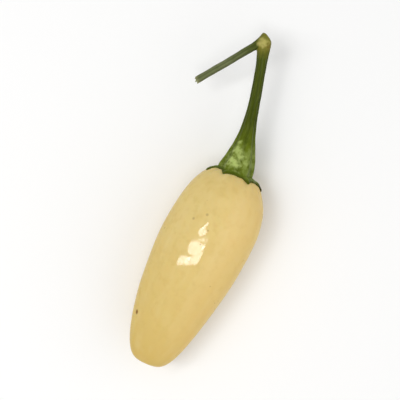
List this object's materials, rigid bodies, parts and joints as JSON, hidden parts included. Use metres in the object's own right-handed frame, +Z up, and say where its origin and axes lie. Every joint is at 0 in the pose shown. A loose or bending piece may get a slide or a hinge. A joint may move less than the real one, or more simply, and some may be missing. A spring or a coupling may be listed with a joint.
{
  "type": "white habanero pepper",
  "caption": "Ripe white habanero chilli, picked with its calyx, stem and a bare side twig, lying on its side; a cream-coloured fruit for cooking or display.",
  "frame": {"origin": "middle of the small flat spot that the pod rests on, on the surface under it", "axes": "+Z up, +X along the pod towards its crown and stem, +Y to the side that the stem and the twig bend to"},
  "size_m": [0.0776, 0.0272, 0.0204],
  "materials": {
    "pod_skin": "waxy, glossy pepper skin, cream to pale yellow",
    "calyx_green": "satin leaf green",
    "stem_green": "satin green stem, olive at the knuckle and grey-green on the twig"
  },
  "bodies": {
    "root": {"pod": "pod_skin", "calyx": "calyx_green", "stem": "stem_green"}
  },
  "joints": []
}
